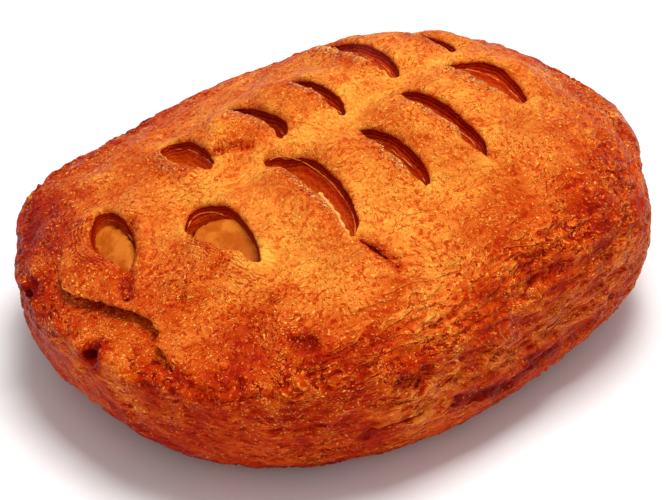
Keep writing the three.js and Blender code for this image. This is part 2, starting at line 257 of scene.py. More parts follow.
class Field:
    """A number or vector that varies over space: one output socket of a node tree."""

    def __init__(self, socket):
        self.socket = socket
        self.tree = socket.id_data

    def __add__(self, other):
        return calc("ADD", self, other)

    def __radd__(self, other):
        return calc("ADD", other, self)

    def __sub__(self, other):
        return calc("SUBTRACT", self, other)

    def __rsub__(self, other):
        return calc("SUBTRACT", other, self)

    def __mul__(self, other):
        return calc("MULTIPLY", self, other)

    def __rmul__(self, other):
        return calc("MULTIPLY", other, self)

    def __truediv__(self, other):
        return calc("DIVIDE", self, other)

    def __rtruediv__(self, other):
        return calc("DIVIDE", other, self)

    def __pow__(self, other):
        return calc("POWER", self, other)

    def __abs__(self):
        return calc("ABSOLUTE", self)

    def __neg__(self):
        return calc("MULTIPLY", self, -1.0)


def plug(target, value):
    """Links a field to a node's input, or sets a plain value there."""
    if isinstance(value, Field):
        target.id_data.links.new(value.socket, target)
    else:
        target.default_value = value


def step(tree, kind, values, output=0, **options):
    """A node with its options and inputs set: one of its outputs as a field."""
    node = tree.nodes.new(kind)
    for name, value in options.items():
        setattr(node, name, value)
    for name, value in values.items():
        plug(node.inputs[name], value)
    return Field(node.outputs[output])


def worked(kind, operation, values, output):
    """A node that works on fields and numbers, in the tree of the first field."""
    tree = next(value.tree for value in values if isinstance(value, Field))
    return step(tree, kind, dict(enumerate(values)), output, operation=operation)


def calc(operation, *values):
    """A Math node over fields and numbers."""
    return worked("ShaderNodeMath", operation, values, 0)


def vector(operation, *values):
    """A Vector Math node. A dot product or a length comes back as a number."""
    is_number = operation in ("DOT_PRODUCT", "LENGTH", "DISTANCE")
    return worked("ShaderNodeVectorMath", operation, values, "Value" if is_number else "Vector")


def scaled(field, factor):
    """A vector field times a number."""
    values = {"Vector": field, "Scale": factor}
    return step(field.tree, "ShaderNodeVectorMath", values, "Vector", operation="SCALE")


def parts_of(field):
    """The x, y and z of a vector field."""
    node = field.tree.nodes.new("ShaderNodeSeparateXYZ")
    plug(node.inputs[0], field)
    return [Field(output) for output in node.outputs]


def total(values):
    first, *others = values
    return sum(others, first)


def larger(*values):
    return reduce(lambda a, b: calc("MAXIMUM", a, b), values)


def smaller(*values):
    return reduce(lambda a, b: calc("MINIMUM", a, b), values)


def soft_larger(a, b, reach):
    return calc("SMOOTH_MAX", a, b, reach)


def bell(value, reach):
    """1 where the value is 0, falling off to both sides."""
    share = value / reach
    return calc("EXPONENT", -(share * share))


def ramp(value, low, high, start=0.0, end=1.0):
    """Goes smoothly from start to end as the value goes from low to high."""
    limits = {"Value": value, "From Min": low, "From Max": high, "To Min": start, "To Max": end}
    return step(value.tree, "ShaderNodeMapRange", limits, "Result", interpolation_type="SMOOTHSTEP")


def noise(place, scale, detail=2.0, roughness=0.5, distortion=0.0, colour=False):
    """Even noise from 0 to 1 over a vector field, or three of them as a vector."""
    settings = {"Scale": scale, "Detail": detail, "Roughness": roughness, "Distortion": distortion}
    return step(place.tree, "ShaderNodeTexNoise", {"Vector": place, **settings}, "Color" if colour else "Fac")


def patchy(place, scale, low, high, start=0.0, end=1.0):
    """Patches: goes from start to end where noise of a scale goes from low to high."""
    return ramp(noise(place, scale), low, high, start, end)


def cells(place, scale):
    """The distance to the nearest of many points strewn by chance."""
    return step(place.tree, "ShaderNodeTexVoronoi", {"Vector": place, "Scale": scale}, "Distance")


def shaken(place, scale, detail, roughness, reach):
    """Places moved about by noise, so that what follows them runs unevenly."""
    shake = vector("SUBTRACT", noise(place, scale, detail, roughness, colour=True), (0.5, 0.5, 0.5))
    return vector("ADD", place, scaled(shake, reach))


def spotted(place, spots):
    """The sum of soft spots, each with its middle, its reach and its amount."""
    return total(bell(vector("DISTANCE", place, middle), reach) * amount for middle, reach, amount in spots)


def new_tree(name, kind, inputs, outputs):
    """A node group with named inputs and outputs: the tree, its inputs as fields and its output node."""
    tree = bpy.data.node_groups.new(name, kind)
    for label, socket_type, value in inputs:
        socket = tree.interface.new_socket(label, in_out="INPUT", socket_type=socket_type)
        if value is not None:
            socket.default_value = value
    for label, socket_type in outputs:
        tree.interface.new_socket(label, in_out="OUTPUT", socket_type=socket_type)
    source = tree.nodes.new("NodeGroupInput")
    sink = tree.nodes.new("NodeGroupOutput")
    fields = {label: Field(source.outputs[label]) for label, _, _ in inputs}
    return tree, fields, sink


def placed(tree, group, values):
    """A node group placed in a tree with its own values: its outputs as fields, by name."""
    node = tree.nodes.new("GeometryNodeGroup" if tree.bl_idname == "GeometryNodeTree" else "ShaderNodeGroup")
    node.node_tree = group
    for label, value in values.items():
        plug(node.inputs[label], value)
    return {output.name: Field(output) for output in node.outputs}


def finished(piece):
    """Makes the result of a piece's modifiers its plain mesh."""
    graph = bpy.context.evaluated_depsgraph_get()
    mesh = bpy.data.meshes.new_from_object(piece.evaluated_get(graph), depsgraph=graph)
    piece.modifiers.clear()
    piece.data = mesh
    mesh.name = piece.name
    return piece


def grown(name, tree, values, start=None):
    """Runs a geometry tree and returns its result as an object with a plain mesh."""
    piece = bpy.data.objects.new(name, start or bpy.data.meshes.new(name))
    bpy.context.scene.collection.objects.link(piece)
    modifier = piece.modifiers.new("grow", "NODES")
    modifier.node_group = tree
    for item in tree.interface.items_tree:
        if item.item_type == "SOCKET" and item.in_out == "INPUT" and item.name in values:
            modifier[item.identifier] = values[item.name]
    return finished(piece)


def close_tree(tree, sink, mesh, material):
    """Ends a geometry tree: real, smooth mesh with its material."""
    mesh = step(tree, "GeometryNodeRealizeInstances", {"Geometry": mesh})
    mesh = step(tree, "GeometryNodeSetShadeSmooth", {"Geometry": mesh})
    mesh = step(tree, "GeometryNodeSetMaterial", {"Geometry": mesh, "Material": material})
    plug(sink.inputs["Geometry"], mesh)


def point_in_mm(tree):
    """Each point of a geometry tree's mesh or volume, in millimetres."""
    return scaled(step(tree, "GeometryNodeInputPosition", {}), 1 / MM)


# The loaf's shape as numbers at one place, for what stands on it.
def crown_at(x):
    return CROWN * (1 + TALLER * x / HALF_LENGTH)


def dome_height(x, y):
    taper = 1 - NARROWER * x / HALF_LENGTH
    share = abs(x / HALF_LENGTH) ** PLAN_POWER + abs(y / (HALF_WIDTH * taper)) ** PLAN_POWER
    inside = max(0.0, 1 - share ** (DOME_POWER / PLAN_POWER))
    return WAIST + (crown_at(x) - WAIST) * inside ** (1 / DOME_POWER)


def outward(point):
    height = crown_at(point.x) - WAIST if point.z >= WAIST else TUCK
    slope = Vector((point.x / HALF_LENGTH**2, point.y / HALF_WIDTH**2, (point.z - WAIST) / height**2))
    return slope.normalized()


def slit_frame(slit):
    """A slit's middle on the dome and its own directions along and across the opening."""
    y = (slit["inner"] + slit["outer"]) / 2
    side = math.copysign(1.0, slit["outer"] - slit["inner"])
    middle = Vector((slit["x"], y, dome_height(slit["x"], y)))
    normal = outward(middle)
    along = Vector((slit["slant"], side, 0.0))
    along = (along - normal * along.dot(normal)).normalized()
    across = Vector((1.0, 0.0, 0.0))
    across -= normal * across.dot(normal)
    across = (across - along * across.dot(along)).normalized()
    return middle, along, across


def half_span(slit):
    return abs(slit["outer"] - slit["inner"]) / 2


# The loaf's shape as fields.
def loaf_distance(x, y, z, half_length, half_width, crown, tuck):
    """How far a point lies outside a smooth loaf, and the upward share of the skin's direction there."""
    taper = 1 - x * (NARROWER / HALF_LENGTH)
    rise = z - WAIST
    plan = abs(x / half_length) ** PLAN_POWER + abs(y / (taper * half_width)) ** PLAN_POWER
    dome = (x * (TALLER / HALF_LENGTH) + 1) * crown - WAIST
    top = (plan ** (DOME_POWER / PLAN_POWER) + abs(rise / dome) ** DOME_POWER) ** (1 / DOME_POWER)
    low = (plan ** (TUCK_POWER / PLAN_POWER) + abs(rise / tuck) ** TUCK_POWER) ** (1 / TUCK_POWER)
    above = calc("GREATER_THAN", rise, 0.0)
    share = low + above * (top - low)
    height = above * (dome - tuck) + tuck
    spread = (x / half_length, y / half_width, rise / height)
    slope = (spread[0] / half_length, spread[1] / half_width, spread[2] / height)
    steepness = calc("SQRT", total(s * s for s in slope) + TINY["slope"])
    reach = total(s * s for s in spread) / steepness
    return (1 - 1 / larger(share, LEAST_SHARE)) * reach, slope[2] / steepness


def curled(share, gape):
    """How far a slit's lip turns away towards its outer end."""
    return ramp(share, CURL_START, 1.0) * gape * CURL


def swell_group():
    """The dough swollen up on both sides of one slit, and the slit's own coordinates."""
    tree, given, sink = new_tree(
        "swollen dough",
        "GeometryNodeTree",
        [
            ("Place", VECTOR, None),
            ("Middle", VECTOR, None),
            ("Along", VECTOR, None),
            ("Across", VECTOR, None),
            ("Half Span", FLOAT, 10.0),
            ("Gape", FLOAT, 6.0),
            ("Bow", FLOAT, 1.2),
            ("Lean", FLOAT, 0.0),
            ("Swell", FLOAT, 1.0),
            ("Roll", FLOAT, 0.5),
            ("Layers", FLOAT, 0.3),
        ],
        [(label, FLOAT) for label in ("Along", "Across", "Swell", "Lip", "Layers", "Ruddy", "Ends")],
    )
    local = vector("SUBTRACT", given["Place"], given["Middle"])
    along = vector("DOT_PRODUCT", local, given["Along"])
    across = vector("DOT_PRODUCT", local, given["Across"])
    share = (along + across * given["Lean"]) / given["Half Span"]
    window = larger(1 - (share / SWELL_SPAN) * (share / SWELL_SPAN), 0.0)
    lip = LIP_RISE * bell(across + LIP_OFFSET, SWELL_REACH)
    shoulder = SHOULDER_RISE * bell(across - given["Gape"] - SHOULDER_OFFSET, SWELL_REACH)
    front = larger(1 - share * share, 0.0)
    edge = across - front * given["Bow"] + curled(share, given["Gape"])
    bands = {name: bell(edge + behind, reach) for name, (behind, reach) in LIP_BANDS.items()}
    ends = bell(abs(along) - given["Half Span"] - SLIT_END["past"], SLIT_END["reach"])
    results = {
        "Along": along,
        "Across": across,
        "Swell": window * (lip + shoulder) * given["Swell"] - front * bands["roll"] * given["Roll"],
        "Lip": front * bands["lip"] * (1 - given["Layers"]) * LIP_GAIN,
        "Layers": ramp(front, 0.0, LAYERS_START) * bands["layers"] * given["Layers"],
        "Ruddy": front * bands["ruddy"],
        "Ends": ends * bell(across - SLIT_END["aside"], SLIT_END["width"]),
    }
    for label, value in results.items():
        plug(sink.inputs[label], value)
    return tree


def pocket_group():
    """How far a point lies outside the pocket under one slit, with a leaf of dough as a ledge in its wall."""
    tree, given, sink = new_tree(
        "pocket",
        "GeometryNodeTree",
        [
            ("Along", FLOAT, 0.0),
            ("Across", FLOAT, 0.0),
            ("Depth", FLOAT, 0.0),
            ("Half Span", FLOAT, 10.0),
            ("Gape", FLOAT, 6.0),
            ("Bow", FLOAT, 1.2),
            ("Lean", FLOAT, 0.0),
            ("Skew", FLOAT, 0.0),
            ("Round", FLOAT, 2.5),
            ("Floor", FLOAT, 5.0),
            ("Slope", FLOAT, 1.0),
        ],
        [("Distance", FLOAT)],
    )
    depth = given["Depth"]
    below = larger(depth, 0.0)
    ledge = ramp(depth, BAND - LEDGE_SOFT, BAND + LEDGE_SOFT) * LEDGE
    ledge = ledge + larger(depth - BAND, 0.0) * given["Slope"]
    hollow = bell(depth - BAND * UNDERCUT["at"], UNDERCUT["reach"]) * UNDERCUT["depth"]
    span = given["Half Span"] * (1 - below * WALL_LEAN)
    u = (given["Along"] + given["Across"] * given["Lean"]) / span
    lean = smaller(below, BAND) * BAND_LEAN
    gape = larger(given["Gape"] - ledge - lean + hollow, LEAST_GAPE) * (1 - given["Skew"] * u)
    v = given["Across"] / gape
    power = given["Round"]
    ring = (abs(u) ** power + abs(v) ** power + TINY["ring"]) ** (1 / power)
    slope = (abs(u) ** (power - 1) / span, abs(v) ** (power - 1) / gape)
    steepness = calc("SQRT", slope[0] * slope[0] + slope[1] * slope[1] + TINY["slope"])
    wall = (ring - 1) * ring ** (power - 1) / steepness
    lip = larger(1 - u * u, 0.0) * given["Bow"] - curled(u, given["Gape"]) - given["Across"]
    opening = soft_larger(wall, lip, ROUNDING["lip"])
    plug(sink.inputs["Distance"], soft_larger(opening, depth - given["Floor"], ROUNDING["floor"]))
    return tree


def segment_group():
    """The distance of a point from a straight stretch."""
    tree, given, sink = new_tree(
        "stretch",
        "GeometryNodeTree",
        [("Place", VECTOR, None), ("Start", VECTOR, None), ("Way", VECTOR, None)],
        [("Distance", FLOAT)],
    )
    way = given["Way"]
    local = vector("SUBTRACT", given["Place"], given["Start"])
    share = vector("DOT_PRODUCT", local, way) / vector("DOT_PRODUCT", way, way)
    share = smaller(larger(share, 0.0), 1.0)
    plug(sink.inputs["Distance"], vector("LENGTH", vector("SUBTRACT", local, scaled(way, share))))
    return tree


def path_distance(tree, segment, place, path):
    pieces = []
    for start, end in zip(path, path[1:]):
        way = Vector(end) - Vector(start)
        pieces.append(placed(tree, segment, {"Place": place, "Start": start, "Way": way})["Distance"])
    return smaller(*pieces)


def crease_distance(aside, depth, crease):
    """How far a point lies outside a wedge cut along a path."""
    width = larger(1 - depth / crease["depth"], 0.0) * crease["width"]
    return larger(aside - width, depth - crease["depth"])


def fold_relief(x, y, z):
    """The relief of the folded ends, the shade under the flap, and how far the skin keeps its own relief."""
    fold = FOLD_EDGE[0][1]
    for (start, low), (end, high) in zip(FOLD_EDGE, FOLD_EDGE[1:]):
        share = smaller(larger((y - start) / (end - start), 0.0), 1.0)
        fold = share * (high - low) + fold
    above = z - fold
    mask = ramp(y, FOLD_ENDS[0], FOLD_ENDS[1]) * ramp(y, FOLD_ENDS[2], FOLD_ENDS[3], 1.0, 0.0)
    mask = mask * ramp(abs(x) / HALF_LENGTH, *FOLD_START)
    flap = ramp(above, -FLAP["edge"], FLAP["edge"]) * bell(larger(above, 0.0), FLAP["reach"]) * FLAP["height"]
    groove = bell(above + GROOVE["below"], GROOVE["reach"]) * GROOVE["depth"]
    swell = bell(above + PLUG_SWELL["below"], PLUG_SWELL["reach"]) * PLUG_SWELL["height"]
    near, far = (bell(above + below, reach) for below, reach in (FOLD_SHADE["edge"], FOLD_SHADE["below"]))
    shade = larger(near, far * FOLD_SHADE["share"])
    calm = mask * bell(above, FOLD_CALM["reach"]) * FOLD_CALM["share"]
    return mask * (flap - groove + swell), mask * shade, 1 - calm


def hole_distance(y, z, spot, radius, depth, floor):
    """How far a point lies outside a round hole that goes in along X."""
    across, height = y - spot[0], z - spot[1]
    aside = calc("SQRT", across * across + height * height)
    return larger(aside - radius, depth - floor)


def prick_distance(x, y, z, depth):
    """How far a point lies outside the pricked holes of both ends: a hollow with a small deep hole in it."""
    hollow = larger(1 - depth / PRICK["depth"], 0.0) * PRICK["radius"]
    holes = []
    for across, height in PRICKS:
        inner = (across + PRICK["aside"][0], height + PRICK["aside"][1])
        holes.append(hole_distance(y, z, (across, height), hollow, depth, PRICK["depth"]))
        holes.append(hole_distance(y, z, inner, PRICK["hole"], depth, PRICK["hole_depth"]))
    return larger(smaller(*holes), PRICK["start"] * HALF_LENGTH - abs(x))


def wrinkles(place, ends, scale, detail):
    """Noise drawn out along the loaf's sides, and across it at its ends."""
    stretched = (vector("MULTIPLY", place, WRINKLE_STRETCH[part]) for part in ("sides", "ends"))
    lengthwise, crosswise = (noise(drawn, scale, detail, *UNEVEN) for drawn in stretched)
    return lengthwise + ends * (crosswise - lengthwise) - 0.5


def slit_fields(tree, place):
    """For each slit its sizes, and its swollen dough with its own coordinates."""
    swell = swell_group()
    slits = []
    for slit in SLITS:
        middle, along, across = slit_frame(slit)
        sizes = {"Half Span": half_span(slit), "Gape": slit["gape"], "Bow": slit["bow"], "Lean": slit["lean"]}
        ways = {"Place": place, "Middle": middle, "Along": along, "Across": across}
        lips = {"Swell": slit["swell"], "Roll": slit["roll"], "Layers": slit["layers"]}
        slits.append((slit, sizes, placed(tree, swell, {**ways, **sizes, **lips})))
    return slits


def slit_opening(tree, slits, valley, depth):
    """How far a point lies outside the pockets of all slits."""
    pocket = pocket_group()
    pockets = []
    for slit, sizes, made in slits:
        slope = 0.0 if slit["cheese"] else SLOPE_SHARE * slit["gape"] / (slit["floor"] - BAND)
        floor = slit["floor"] - valley * VALLEY_DEPTH
        shape = {"Skew": slit["skew"], "Round": slit["round"], "Floor": floor, "Slope": slope, **sizes}
        spot = {"Along": made["Along"], "Across": made["Across"], "Depth": depth}
        pockets.append(placed(tree, pocket, {**spot, **shape})["Distance"])
    return smaller(*pockets)


def loaf_waves(x, y, z):
    """Long, low waves that keep the loaf from being even."""
    waves = []
    for wave in WAVES:
        turns = x / wave["x"] + y / wave["y"] + z / wave["z"]
        waves.append(calc("SINE", turns * (2 * math.pi) + wave["shift"]) * wave["height"])
    return total(waves)


def crease_lines(tree, place, plain):
    """How far a point lies from each crease, measured along the skin."""
    segment = segment_group()
    lines = []
    for crease in CREASES:
        line = path_distance(tree, segment, place, crease["path"])
        lines.append(calc("SQRT", larger(line * line - plain * plain, 0.0) + TINY["line"]))
    return lines


def blistered(body, place, plain, skin):
    """The loaf with its single blisters, flattened against the skin."""
    for middle, radius in BLISTERS:
        away = vector("DISTANCE", place, middle)
        flat = larger(away * away - plain * plain, 0.0) + skin * skin * BLISTER_SQUASH**2
        body = calc("SMOOTH_MIN", body, calc("SQRT", flat) - radius, ROUNDING["blister"])
    return body


def meshed(tree, given, body):
    """The mesh of the skin where a field of distances is zero, inside the given box."""
    low, high = given["Low Corner"], given["High Corner"]
    counts = parts_of(scaled(vector("SUBTRACT", high, low), 1 / given["Cell"]))
    block = {"Density": SURFACE - body / DENSITY_SPAN, "Background": 0.0, "Min": low, "Max": high}
    for axis, count in zip("XYZ", counts):
        block["Resolution " + axis] = count
    volume = {"Volume": step(tree, "GeometryNodeVolumeCube", block), "Threshold": SURFACE}
    return step(tree, "GeometryNodeVolumeToMesh", volume, resolution_mode="GRID")


def fine_relief(given, place, loose, ends, up):
    """The height of the skin's wrinkles, lumps and small blisters, and how far each point is a crest."""
    side = ramp(up, *WRINKLE_WEAKER["up"]) * (1 - ends * WRINKLE_WEAKER["ends"])
    broad = wrinkles(loose, ends, BROAD_WRINKLE["scale"], BROAD_WRINKLE["detail"])
    fine = wrinkles(loose, ends, FINE_WRINKLE["scale"], FINE_WRINKLE["detail"])
    ridges = bell(broad, RIDGE["width"]) - RIDGE["base"]
    lumps = noise(place, LUMP["scale"]) - 0.5
    near = cells(loose, SMALL_BLISTER["scale"])
    blisters = larger(1 - near * near * SMALL_BLISTER["sharpness"], 0.0)
    blisters = blisters * ramp(noise(place, *SMALL_BLISTER["noise"]), *SMALL_BLISTER["shown"])
    crest = side * (ridges * RIDGE["crest"] + fine * FINE_WRINKLE["crest"])
    crest = crest + blisters * SMALL_BLISTER["crest"]
    height = ridges * RIDGE["height"] + fine * FINE_WRINKLE["height"] + broad * BROAD_WRINKLE["height"]
    height = side * height * given["Wrinkle Depth"] + lumps * LUMP["height"]
    height = height + blisters * given["Blister Height"]
    shoulder = ramp(up, *SHOULDER["start"]) * ramp(up, *SHOULDER["end"])
    swells = noise(loose, *SHOULDER_LUMP["noise"]) - 0.5
    return height + swells * shoulder * SHOULDER_LUMP["height"], crest


def crust_tree(shift):
    """The baked loaf: a volume of distances to its skin, made a mesh and given its fine relief."""
    tree, given, sink = new_tree(
        "baked loaf",
        "GeometryNodeTree",
        [
            ("Geometry", GEOMETRY, None),
            ("Cell", FLOAT, CELL * MM),
            ("Wrinkle Depth", FLOAT, 1.0),
            ("Blister Height", FLOAT, 0.3),
            ("Low Corner", VECTOR, None),
            ("High Corner", VECTOR, None),
            ("Material", MATERIAL, None),
        ],
        [("Geometry", GEOMETRY)],
    )
    place = vector("SUBTRACT", point_in_mm(tree), shift)
    x, y, z = parts_of(place)
    loose = shaken(place, **WARP)

    # The skin with everything that swells or sinks in it.
    plain, up = loaf_distance(x, y, z, HALF_LENGTH, HALF_WIDTH, CROWN, TUCK)
    top = ramp(up, *TOP)
    slits = slit_fields(tree, loose)
    valley = bell(y - VALLEY_MIDDLE[1], VALLEY_REACH) * bell(x - VALLEY_MIDDLE[0], VALLEY_LENGTH)
    lines = crease_lines(tree, loose, plain)
    beside = smaller(*lines) - CREASE_SWELL["offset"]
    folds, fold_shade, unfolded = fold_relief(*parts_of(loose))
    valleys = total(bell(line, c["width"]) * c["depth"] for line, c in zip(lines, CREASES) if not c["cut"])
    relief = top * (total(made["Swell"] for _, _, made in slits) - valley * VALLEY_DEPTH)
    relief = relief + loaf_waves(x, y, z) + folds - valleys
    relief = relief + bell(beside, CREASE_SWELL["reach"]) * CREASE_SWELL["height"]
    skin = plain - relief + spotted(place, DENTS)
    depth = -skin
    leaf_depth = depth + (noise(place, LEAF_WAVER) - 0.5)

    # The cuts into it, and the hollow for the cheese.
    opening = slit_opening(tree, slits, valley, leaf_depth)
    creases = smaller(*[crease_distance(line, depth, c) for line, c in zip(lines, CREASES) if c["cut"]])
    cuts = smaller(creases, prick_distance(x, y, z, depth))
    body = blistered(soft_larger(skin, -z, ROUNDING["base"]), loose, plain, skin)
    body = soft_larger(body, -opening, ROUNDING["rim"])
    body = soft_larger(body, -cuts, ROUNDING["cut"])
    inside = CHEESE_GAP - loaf_distance(x, y, z, **CHEESE)[0]
    mesh = meshed(tree, given, larger(body, inside))

    # The fine relief of the baked skin.
    outside = ramp(depth, *RELIEF["depth"]) * ramp(z, *RELIEF["foot"]) * unfolded
    height, crest = fine_relief(given, place, loose, ramp(abs(x) / HALF_LENGTH, *ENDS), up)
    offset = scaled(step(tree, "GeometryNodeInputNormal", {}), height * outside * MM)
    mesh = step(tree, "GeometryNodeSetPosition", {"Geometry": mesh, "Offset": offset})

    # What the materials and the scattered pieces read.
    buried = larger(inside + HIDDEN_MARGIN["inside"], HIDDEN_MARGIN["under"] - z)
    masks = {
        "depth": leaf_depth,
        "rim": smaller(opening, RIM_REACH),
        "stretch": larger(valley * VALLEY_STRETCH, *[made["Ends"] for _, _, made in slits]) * top,
        # how far each point is a crest, which the crust's colour lightens as a painted highlight
        "crest": crest,
        "up": up,
        # cuts, creases and the fold's shade, which the colour darkens as painted shade
        "crease": larger(bell(larger(cuts, 0.0), CUT_SHADE), fold_shade, smaller(valleys, 1.0)),
        "hidden": calc("GREATER_THAN", buried, 0.0),
        # spots of browning, and of painted shade on the humps' shaded sides
        "browned": spotted(loose, BROWNED_AND_SHADED),
    }
    for name in ("Lip", "Ruddy", "Layers"):
        masks[name.lower()] = larger(*[made[name] for _, _, made in slits]) * top
    for label, value in masks.items():
        named = {"Geometry": mesh, "Name": label, "Value": value}
        mesh = step(tree, "GeometryNodeStoreNamedAttribute", named, data_type="FLOAT", domain="POINT")
    close_tree(tree, sink, mesh, given["Material"])
    return tree


def thinned(piece):
    """Drops most triangles that don't show, then the flattest elsewhere, until few enough are left."""
    mesh = piece.data
    hidden = np.empty(len(mesh.vertices), dtype=np.float32)
    mesh.attributes["hidden"].data.foreach_get("value", hidden)
    group = piece.vertex_groups.new(name="hidden")
    group.add(np.flatnonzero(hidden > 0.5).tolist(), 1.0, "REPLACE")
    first = piece.modifiers.new("thin hidden", "DECIMATE")
    first.vertex_group = group.name
    share = float((hidden > 0.5).mean())
    first.ratio = 1 - share * (1 - HIDDEN_SHARE)
    second = piece.modifiers.new("thin all", "DECIMATE")
    second.ratio = min(1.0, MOST_TRIANGLES / (first.ratio * 2 * len(mesh.polygons)))
    finished(piece)
    piece.vertex_groups.clear()
    return piece


# Materials.
def blank_material(name):
    """A new material: its tree and its shader node."""
    material = bpy.data.materials.new(name)
    material.use_nodes = True
    return material, material.node_tree, material.node_tree.nodes["Principled BSDF"]


def tinted(value, stops):
    """A colour ramp over a value."""
    node = value.tree.nodes.new("ShaderNodeValToRGB")
    points = node.color_ramp.elements
    while len(points) < len(stops):
        points.new(0.5)
    for point, (position, colour) in zip(points, stops):
        point.position = position
        point.color = (*colour, 1.0)
    plug(node.inputs["Fac"], value)
    return Field(node.outputs["Color"])


def mixed(amount, first, second):
    """One colour going over to another."""
    values = {"Factor": amount}
    for index, colour in zip(MIX_COLOURS, (first, second)):
        values[index] = colour if isinstance(colour, Field) else (*colour, 1.0)
    return step(amount.tree, "ShaderNodeMix", values, MIX_RESULT, data_type="RGBA")


def attribute(tree, name):
    return step(tree, "ShaderNodeAttribute", {}, "Fac", attribute_name=name)


def bumped(tree, shader, height, strength, distance):
    """Roughens a shader's surface by a height."""
    values = {"Strength": strength, "Distance": distance, "Height": height}
    plug(shader.inputs["Normal"], step(tree, "ShaderNodeBump", values, "Normal"))


def set_gloss(shader, roughness, specular, tint=(1.0, 1.0, 1.0)):
    """Sets how rough a surface is, how much it shines and in which colour."""
    plug(shader.inputs["Roughness"], roughness)
    shader.inputs["Specular IOR Level"].default_value = specular
    shader.inputs["Specular Tint"].default_value = (*tint, 1.0)


def place_in_mm(tree):
    return scaled(step(tree, "ShaderNodeTexCoord", {}, "Object"), 1 / MM)


# The colours of dough by how far it is baked, and of what the oven hardly coloured.
CRUST_STOPS = [
    (0.0, (0.98, 0.47, 0.06)),
    (0.2, (0.92, 0.31, 0.035)),
    (0.4, (0.8, 0.168, 0.018)),
    (0.6, (0.6, 0.062, 0.0015)),
    (0.8, (0.41, 0.011, 0.0004)),
    (1.0, (0.2, 0.002, 0.0002)),
]
PALE = (0.95, 0.52, 0.18)

# How far each thing darkens the skin, on that scale: its browning, and painted light where marked.
BAKE = {
    "plain": 0.48,
    # crests are lighter: a painted highlight on the wrinkles
    "crest": 0.13,
    # side: darker as the skin turns from upward, partly its browning and partly painted shade
    "side": 0.28,
    # foot: darker low down, painted shade where the loaf meets the floor
    "foot": 0.1,
    # near_end and far_side: darker towards the near end and on the far side
    "near_end": 0.08,
    "far_side": 0.1,
    # stretched dough is paler
    "stretch": 0.2,
    # crease: painted shade in cuts, creases and under the flap
    "crease": 0.3,
    "lines": 0.16,
    # the band by the lips: redder, partly browning and partly painted shade on the pillows' fronts
    "ruddy": 0.14,
    "scorched": 0.35,
}
# How dark the slits' walls are: the top band is partly painted shade under the rim, and creases add painted
# shade.
WALL_BAKE = {"top": 1.0, "ledge": 0.74, "slope": 0.28, "skin": 0.25, "stretch": 0.2, "crease": 0.5}
BAKE_PLACES = {"side": (0.72, 0.99), "foot": (2.0, 9.0), "near_end": (-62.0, -25.0), "far_side": (10.0, 38.0)}
WALL = (0.5, 1.1)        # depth over which the skin goes over into a slit's wall
WALL_PLACES = {"ledge": (0.8, BAND + 0.6), "slope": (BAND, BAND + 3.0)}
STRIA_BAKE = (BAND - 0.4, BAND + 0.5, 0.12, 0.04)
SCORCHED = {"noise": (1.0, 3.0, 0.6), "shown": (0.56, 0.64), "lip": (0.2, 0.6)}
CRUMBS = {"noise": (1.25, 3.0, 0.65), "shown": (0.6, 0.68), "more": 0.1, "lip": (0.25, 0.7)}
PALENESS = {"dots": 0.3, "crumbs": 0.8}
WANDER = {"scale": 0.25, "lines": 14.0, "striae": 6.0}
LINE_PATCHES = (0.35, 0.35, 0.6)
LINE_PITCH = 0.7         # of the layers that show on the lips
STRIA_PITCH = 0.62       # of the layers that show in the slits' walls
CRUST_MASKS = ("depth", "up", "crest", "rim", "lip", "layers", "browned", "stretch", "crease", "ruddy")
CRUST_HEIGHT = {"lines": 0.3, "crumbs": 0.6, "striae": 0.06}
CRUST_SHINE = (1.0, 0.55, 0.22)
CHEESE_DARK = (0.49, 0.086, 0.003)
CHEESE_LIGHT = (0.68, 0.178, 0.014)
CHEESE_SHINE = (1.0, 0.7, 0.3)

# How rough the crust and the cheese are, and how the smaller pieces are baked and pale, with their noise.
CRUST_ROUGH = {"plain": 0.4, "height": 0.15}
LEAF_TONE = {"noise": (0.9, 3.0, 0.6), "bake": 0.45, "mottle": 1.2, "pale": 0.2}
LEAF_PALENESS = {"more": 0.15, "shown": (0.05, 0.35)}
FLAKE_TONE = {"scale": 1.5, "bake": 0.35, "tone": 0.35, "mottle": 0.4, "uneven": 0.3}
CHEESE_MOTTLE = {"noise": (0.25, 4.0, 0.6, 0.5), "shown": (0.4, 0.62)}
CHEESE_ROUGH = {"plain": 0.25, "mottle": 0.2}
CHEESE_GRAIN = (1.2, 3.0, 0.6)
CHEESE_LUMPS = (0.2, 3.0)
CHEESE_RISEN = (0.7, 1.3, 1.0, 0.0)  # shares of a slit's oval, out to which the cheese rises in it

# The skin's patterns: how places are stretched for each, and its scale, detail, roughness and distortion.
SKIN_PATTERNS = {
    "fibre": ((0.45, 0.45, 1.7), 0.9, 4.0, 0.65, 0.4),
    "mottle": ((0.45, 0.45, 1.7), 0.3, 3.0, 0.6, 0.4),
    "peel": ((0.8, 0.8, 1.2), 0.8, 4.0, 0.62, 0.6),
    "marble": ((0.9, 0.9, 1.0), 1.3, 3.0, 0.65, 0.8),
    "wrinkle": ((0.3, 1.0, 1.3), 0.22, 2.0, 0.5, 0.8),
    "speck": ((0.9, 0.9, 1.4), 1.9, 1.0, 0.5, 0.5),
}
SWAY = {"scale": 0.06, "detail": 2.0, "roughness": 0.5, "reach": 9.0}
SKIN_DARK = {"patches": 0.7, "mottle": 0.5, "wrinkle": 0.2, "weave": 1.9, "threads": 0.45, "specks": 0.55}
SKIN_HEIGHT = {"weave": 1.2, "mottle": 0.5, "specks": 0.2, "wrinkle": 1.2}
DARKEST = 0.12
DARKEST_SOFT = 0.24

